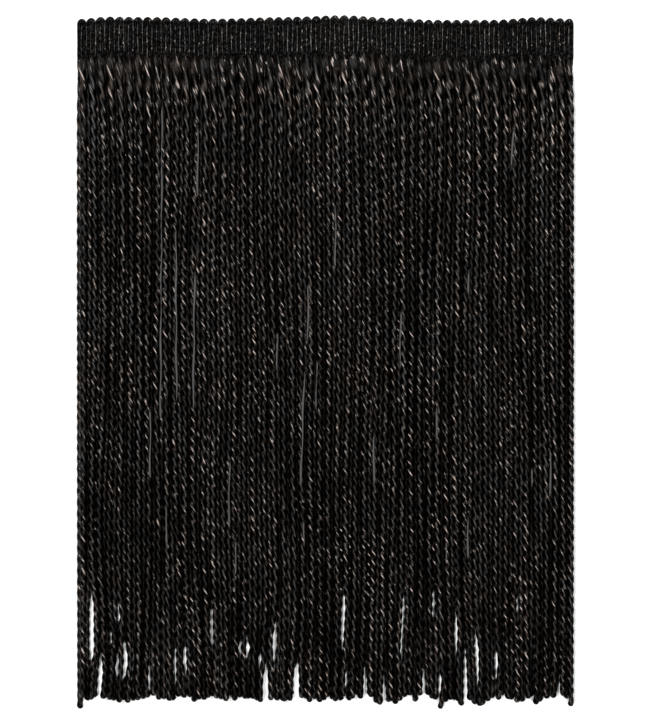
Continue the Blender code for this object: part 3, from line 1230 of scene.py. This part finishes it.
class Rib:
    """One looped rib of the heading: its route over the ground, and its thickness along it."""

    def __init__(self, number, sizes, draw):
        self.number = number
        self.tint = loop_tint(number)
        centre = -WIDTH / 2 + (2 * number + 1) * PITCH
        rise = sway(centre)
        rise = sway(centre)
        radius = sizes.rib_radius * draw.uniform(0.97, 1.03)
        foot = FOOT_LINE + rise - RIB_OVERLAP
        base = HEADING_LINE + LOOP_PROUD + rise - ARCH_RISE - ARCH_SCALE * radius
        leg = np.linspace(foot, base, LEG_STEPS)
        turn = np.linspace(math.pi, 0.0, ARCH_STEPS)[1:-1]
        lean = LOOP_LEAN * draw.uniform(0.6, 1.4)
        left = np.full(len(leg), -PITCH / 2)
        across = np.concatenate((left, PITCH / 2 * np.cos(turn), -left))
        along = np.concatenate((leg, base + ARCH_RISE * np.sin(turn), leg[::-1]))
        above = np.maximum(along - base, 0.0) / ARCH_RISE
        wobble = WOBBLE * np.sin(along / WOBBLE_SCALE + draw.uniform(0.0, math.tau))
        across = centre + across + lean * above**2 + wobble
        self.route = (across, along)
        self.place = run_along(across, along)
        self.leg = base - foot
        self.centre = centre
        self.base = base
        self.length = self.place[-1]
        pinched = 0.5 + 0.5 * np.cos(math.tau * (along - base) / PINCH_SPACING + 0.7)
        thinned = 1.0 - PINCH * pinched * draw.uniform(0.4, 1.4) - (1.0 - ARCH_SCALE) * above
        foot_scale = blend(RIB_FOOT_SCALE, 1.0, from_ends(self.place, TAPER_LENGTH))
        self.radius = radius * thinned * foot_scale

    def at(self, place):
        """Where the route is, across and along the heading, at places on it."""
        return np.stack([np.interp(place, self.place, track) for track in self.route], axis=1)


def rib_shape(rib):
    """Points, map and tone of one rib, for the rib blank."""
    leg = np.linspace(0.0, rib.leg, LEG_RINGS)
    arch = np.linspace(rib.leg, rib.length - rib.leg, ARCH_RINGS + 2)[1:-1]
    place = np.concatenate((leg, arch, rib.length - leg[::-1]))
    forward = rib.at(place + SHORT_STEP) - rib.at(place - SHORT_STEP)
    forward = forward / np.linalg.norm(forward, axis=1, keepdims=True)
    radius = np.interp(place, rib.place, rib.radius)
    height = np.full(len(place), RIB_HEIGHT)
    angles = angles_round(RIB_COLUMNS, seam=1)
    points = ring_points(*rib.at(place).T, height, forward, radius, angles[:, :-1])
    spread = grain_map(RIB_ROUND * angles, place[:, None] / MM, rib.number * RIB_JITTER)
    return points, spread, rib.tint


def plan_ribs(sizes):
    """All the looped ribs of the heading."""
    draw = random.Random(3)
    return [Rib(number, sizes, draw) for number in range(RIB_COUNT)]


def tube_points(across, along, height, radius, columns):
    """Points round a thin thread on a route over the face: rings by columns."""
    forward = np.stack((np.gradient(across), np.gradient(along)), axis=1)
    forward = forward / np.linalg.norm(forward, axis=1, keepdims=True)
    return ring_points(across, along, height, forward, radius, angles_round(columns))


def thread_shape(across, along, height, radius, tone, jitter):
    """Points, map and tone of one of the heading's threads, for the thread blank."""
    points = tube_points(across, along, height, radius, THREAD_COLUMNS)
    place = run_along(across, along)[:, None] / MM
    around = THREAD_RADIUS / MM * (angles_round(THREAD_COLUMNS, seam=1) + math.pi / 2)
    return points, grain_map(around, place, jitter), tone


def valley_thread(number, draw):
    """The thread between two ribs, from under a loop or a notch down to the ribs' feet."""
    centre = -WIDTH / 2 + number * PITCH
    rise = sway(centre)
    below = UNDER_LOOP if number % 2 else UNDER_NOTCH
    top = HEADING_LINE + LOOP_PROUD + rise - below
    foot = FOOT_LINE + rise + ABOVE_FOOT * draw.uniform(0.2, 1.8)
    along = np.linspace(foot, top, THREAD_RINGS)
    bow = draw.uniform(0.04, 0.16) * np.sin(along / BOW_SCALE + draw.uniform(0.0, math.tau))
    ends = from_ends(along, TAPER_LENGTH)
    radius = THREAD_RADIUS * draw.uniform(0.85, 1.15) * blend(THREAD_END_SCALE, 1.0, ends)
    height = THREAD_HEIGHT - VALLEY_DIP * (1.0 - ends)
    broken = np.array([draw.uniform(*THREAD_TONES) for _ in along])[:, None]
    tone = loop_tint((number - 1) // 2) * draw.uniform(0.7, 1.1) * broken
    return thread_shape(centre + bow * MM, along, height, radius, tone, VALLEY_JITTER * number)


def loop_arcs(rib, draw):
    """The thinner threads that arch over a loop."""
    arcs = []
    for wide, high in ARCS:
        turn = np.radians(np.linspace(200.0, -20.0, THREAD_RINGS))
        lean = LOOP_LEAN * draw.uniform(-0.6, 1.2)
        stretch = draw.uniform(0.93, 1.07)
        above = np.maximum(np.sin(turn), 0.0)
        across = rib.centre + wide * stretch * MM * np.cos(turn) + lean * above
        along = rib.base + high * stretch * MM * np.sin(turn)
        ends = from_ends(turn, ARC_TAPER)
        radius = ARC_RADIUS * blend(THREAD_END_SCALE, 1.0, ends)
        height = THREAD_HEIGHT - ARC_DIP * (1.0 - ends)
        tone = ARC_TONE * rib.tint * draw.uniform(0.7, 1.3)
        jitter = ARC_JITTER * rib.number
        arcs.append(thread_shape(across, along, height, radius, tone, jitter))
    return arcs


def stitch_shape(across, along, long, slant, width):
    """A short stitch that lies on the face, turned from upright towards +X."""
    share = np.linspace(-0.5, 0.5, len(STITCH_TAPER))
    radius = width / 2 * STITCH_TAPER
    height = np.full(len(share), STITCH_HEIGHT)
    route = (across + share * long * math.sin(slant), along + share * long * math.cos(slant))
    return tube_points(*route, height, radius, STITCH_COLUMNS), 0.0, 0.5


def heading_stitches(ribs, draw):
    """Short copper stitches: in rows on the valleys' threads, and a few on the loops."""
    shapes = []
    for number in range(1, CORD_COUNT):
        centre = -WIDTH / 2 + number * PITCH
        crest = HEADING_LINE + LOOP_PROUD + sway(centre)
        for row in STITCH_ROWS:
            if draw.random() < STITCHED_VALLEYS:
                along = crest - row + draw.gauss(0.0, 1.0) * STITCH_SCATTER
                across = centre + draw.uniform(-0.2, 0.2) * MM
                long = draw.uniform(0.5, 1.15) * MM
                slant = draw.gauss(0.15, 0.2)
                shapes.append(stitch_shape(across, along, long, slant, draw.uniform(0.2, 0.4) * MM))
    for rib in ribs:
        if draw.random() < STITCHED_LOOPS:
            across = rib.centre + draw.uniform(-1.1, 1.1) * MM
            along = rib.base + draw.uniform(0.1, 1.1) * MM
            slant = draw.uniform(-0.9, 0.9)
            long = draw.uniform(0.4, 0.9) * MM
            shapes.append(stitch_shape(across, along, long, slant, draw.uniform(0.15, 0.3) * MM))
    return shapes


class FRINGE_OT_heading(bpy.types.Operator):
    """Loop the ribs of the heading, lay threads between them and stitch copper into those"""

    bl_idname = "fringe.heading"
    bl_label = "Looped Heading"

    def execute(self, context):
        sizes = context.scene.fringe_sizes
        colours = context.scene.fringe_colours
        ribs = plan_ribs(sizes)
        blank = Blank(RIB_COLUMNS, 2 * LEG_RINGS + ARCH_RINGS)
        piece = bent_copies("heading_ribs", blank, [rib_shape(rib) for rib in ribs])
        finish_piece(piece, rib_material(colours), "heading")

        draw = random.Random(59)
        threads = [valley_thread(number, draw) for number in range(1, CORD_COUNT)]
        for rib in ribs:
            threads.extend(loop_arcs(rib, draw))
        piece = bent_copies("heading_threads", Blank(THREAD_COLUMNS, THREAD_RINGS), threads)
        material = yarn_material(
            "heading thread", colours, THREAD_GLOSS, grain=1.5, copper_share=0.27, streak_bump=0.3
        )
        finish_piece(piece, material)

        stitches = heading_stitches(ribs, random.Random(61))
        blank = Blank(STITCH_COLUMNS, len(STITCH_TAPER))
        piece = bent_copies("heading_copper", blank, stitches)
        finish_piece(piece, copper_material(colours))
        return {"FINISHED"}


class FRINGE_OT_ground(bpy.types.Operator):
    """Weave the thin ground that carries the ribs"""

    bl_idname = "fringe.ground"
    bl_label = "Heading Ground"

    def execute(self, context):
        colours = context.scene.fringe_colours
        deselect_all()
        bpy.ops.mesh.primitive_grid_add(
            x_subdivisions=CORD_COUNT, y_subdivisions=GROUND_ROWS, size=1.0
        )
        ground = context.object
        ground.name = "heading_ground"
        height = HEADING_HEIGHT + GROUND_FOOT - GROUND_TOP
        for corner in ground.data.vertices:
            across = corner.co.x * (WIDTH - GROUND_INSET)
            along = FOOT_LINE - GROUND_FOOT + (corner.co.y + 0.5) * height + sway(across)
            corner.co = (across, along, GROUND_LIFT)
        solid = ground.modifiers.new("thickness", "SOLIDIFY")
        solid.thickness = GROUND_THICKNESS
        solid.offset = 1.0
        bpy.ops.object.modifier_apply(modifier=solid.name)
        finish_piece(ground, ground_material(colours))
        return {"FINISHED"}


def face_height(cords, across, depth):
    """Height of the cords' upper side at places across and depths."""
    face = np.zeros_like(across)
    for cord in cords:
        beside = across - follow(cord.across, depth)
        dome = np.sqrt(np.maximum(cord.radius**2 - beside**2, 0.0))
        top = follow(cord.height, depth) + dome
        face = np.maximum(face, np.where(np.abs(beside) < cord.radius, top, 0.0))
    return face


def loose_shape(row, cords, width, draw):
    """Points, map and tone of one loose thread, for the loose thread's blank."""
    upper, lower, high, length = row
    share = np.linspace(0.0, 1.0, LOOSE_RINGS)
    along = share * length
    depth = ROOT_LINE - HEM - high * MM + along * MM
    bend = LOOSE_SWAY * np.sin(along / LOOSE_SWAY_SCALE + draw.uniform(0.0, math.tau))
    across = (blend(upper, lower, share) + bend) * MM
    face = face_height(cords, across, depth)
    reach = round(LOOSE_REACH * LOOSE_RINGS / length)
    even = np.ones(2 * reach + 1) / (2 * reach + 1)
    smooth = np.convolve(np.pad(face, reach, mode="edge"), even, mode="valid")
    ends = from_ends(along, LOOSE_TAPER)
    height = smooth - LOOSE_SUNK - LOOSE_DIP * (1.0 - ends)
    swell = 1.0 + LOOSE_SWELL * np.sin(along / LOOSE_SWELL_SCALE + draw.uniform(0.0, math.tau))
    radius = width / 2 * swell * blend(LOOSE_END_SCALE, 1.0, ends)
    angles = angles_round(LOOSE_COLUMNS)
    points = ring_points(across, ROOT_LINE - depth, height, DOWN_THE_FACE, radius, angles)
    return points, 0.0, draw.random()


class FRINGE_OT_loose(bpy.types.Operator):
    """Lay the loose straight threads over the cords"""

    bl_idname = "fringe.loose"
    bl_label = "Loose Threads"

    def execute(self, context):
        sizes = context.scene.fringe_sizes
        colours = context.scene.fringe_colours
        cords = plan_cords(sizes)
        draw = random.Random(77)
        blank = Blank(LOOSE_COLUMNS, LOOSE_RINGS)
        shapes = [loose_shape(row, cords, sizes.loose_width, draw) for row in LOOSE_THREADS]
        piece = bent_copies("loose_threads", blank, shapes)
        finish_piece(piece, loose_material(colours))
        return {"FINISHED"}


def stretch_shape(surface, low, high, angle, width, drift):
    """One stretch of flat thread that surfaces on a yarn, tapered and sunk at both ends."""
    rings = len(STRETCH_TAPER)
    place = np.linspace(low, high, rings)
    centre = angle + drift * np.linspace(-0.5, 0.5, rings)
    half = width * STRETCH_TAPER / 2 / MM
    sides = np.stack((centre - half, centre + half, centre), axis=1)
    outward = np.stack((STRETCH_LIFT, STRETCH_LIFT, STRETCH_LIFT - STRETCH_DEPTH), axis=1)
    return surface(place[:, None], sides, outward), 0.0, 0.5


def copper_runs(cord, draw, share):
    """Where copper thread surfaces along a cord: depths, and angles from a ply's crest."""
    runs = []
    reach = cord.grid[-1] - COPPER_MARGIN
    rich = draw.random()
    depth = -draw.uniform(*COPPER_START) * MM
    while depth < reach:
        at_top = depth < 0.0
        run = draw.uniform(*(TOP_RUNS if at_top else RUNS)) * MM
        if draw.random() < share * (TOP_METAL if at_top else LEAST_METAL + MORE_METAL * rich):
            facing = draw.uniform(0.0, math.tau)
            metal = draw.sample(range(STRANDS), 3 if at_top else draw.choice((1, 2, 2, 3)))
            start = float(np.interp(depth, cord.grid, cord.turned))
            stop = float(np.interp(min(depth + run, reach), cord.grid, cord.turned))
            first = math.ceil((start - cord.phase + facing) / STRAND_TURN)
            last = math.floor((stop - cord.phase + facing) / STRAND_TURN)
            for crest in range(first, last + 1):
                if crest % STRANDS not in metal or draw.random() < MISSED:
                    continue
                passed = crest * STRAND_TURN + cord.phase - facing
                at = float(np.interp(passed, cord.turned, cord.grid))
                runs.append((at, crest % STRANDS * STRAND_TURN + draw.gauss(0.0, 0.16)))
        depth += run
    return runs


class FRINGE_OT_copper(bpy.types.Operator):
    """Work copper thread into the plies of the cords"""

    bl_idname = "fringe.copper"
    bl_label = "Copper Thread"

    def execute(self, context):
        sizes = context.scene.fringe_sizes
        colours = context.scene.fringe_colours
        blank = Blank(STRETCH_COLUMNS, len(STRETCH_TAPER))
        cords = plan_cords(sizes)
        draw = random.Random(41)
        material = copper_material(colours)
        shapes = []
        for cord in cords:
            share = sizes.copper_share * (1.0 if cord.number % 2 else BACK_COPPER)
            for at, angle in copper_runs(cord, draw, share):
                rate = np.interp(at, cord.grid, np.gradient(cord.turned, cord.grid))
                pitch = STRAND_TURN / rate
                long = pitch * draw.uniform(0.35, 0.75)
                width = sizes.copper_width * draw.uniform(0.65, 1.15)
                width *= 1.1 - 0.1 * smooth_step(at / (18.0 * MM))
                low = max(at - long / 2, 0.0)
                high = min(at + long / 2, cord.end - COPPER_MARGIN)
                turned = np.interp((low, high), cord.grid, cord.turned)
                drift = STREAK_DRIFT * (turned[1] - turned[0])
                shapes.append(stretch_shape(cord.point, low, high, angle, width, drift))
        piece = bent_copies("cord_copper", blank, shapes, smooth=False)
        finish_piece(piece, material)
        return {"FINISHED"}


class FRINGE_PT_panel(bpy.types.Panel):
    """Sizes, colours and steps of the fringe"""

    bl_label = "Bullion Fringe"
    bl_space_type = "VIEW_3D"
    bl_region_type = "UI"
    bl_category = "Fringe"

    def draw(self, context):
        layout = self.layout
        for settings in (context.scene.fringe_sizes, context.scene.fringe_colours):
            box = layout.box()
            for name in settings.__annotations__:
                box.prop(settings, name)
        for step in ("stage", "cords", "copper", "loose", "heading", "ground"):
            layout.operator(f"fringe.{step}")


classes = (
    FringeSizes,
    FringeColours,
    FRINGE_OT_stage,
    FRINGE_OT_cords,
    FRINGE_OT_copper,
    FRINGE_OT_loose,
    FRINGE_OT_heading,
    FRINGE_OT_ground,
    FRINGE_PT_panel,
)


def register():
    for kind in classes:
        bpy.utils.register_class(kind)
    bpy.types.Scene.fringe_sizes = bpy.props.PointerProperty(type=FringeSizes)
    bpy.types.Scene.fringe_colours = bpy.props.PointerProperty(type=FringeColours)


def unregister():
    del bpy.types.Scene.fringe_colours
    del bpy.types.Scene.fringe_sizes
    for kind in reversed(classes):
        bpy.utils.unregister_class(kind)


def main():
    register()
    bpy.ops.fringe.stage()
    bpy.ops.fringe.cords()
    bpy.ops.fringe.copper()
    bpy.ops.fringe.loose()
    bpy.ops.fringe.heading()
    bpy.ops.fringe.ground()


if __name__ == "__main__":
    main()
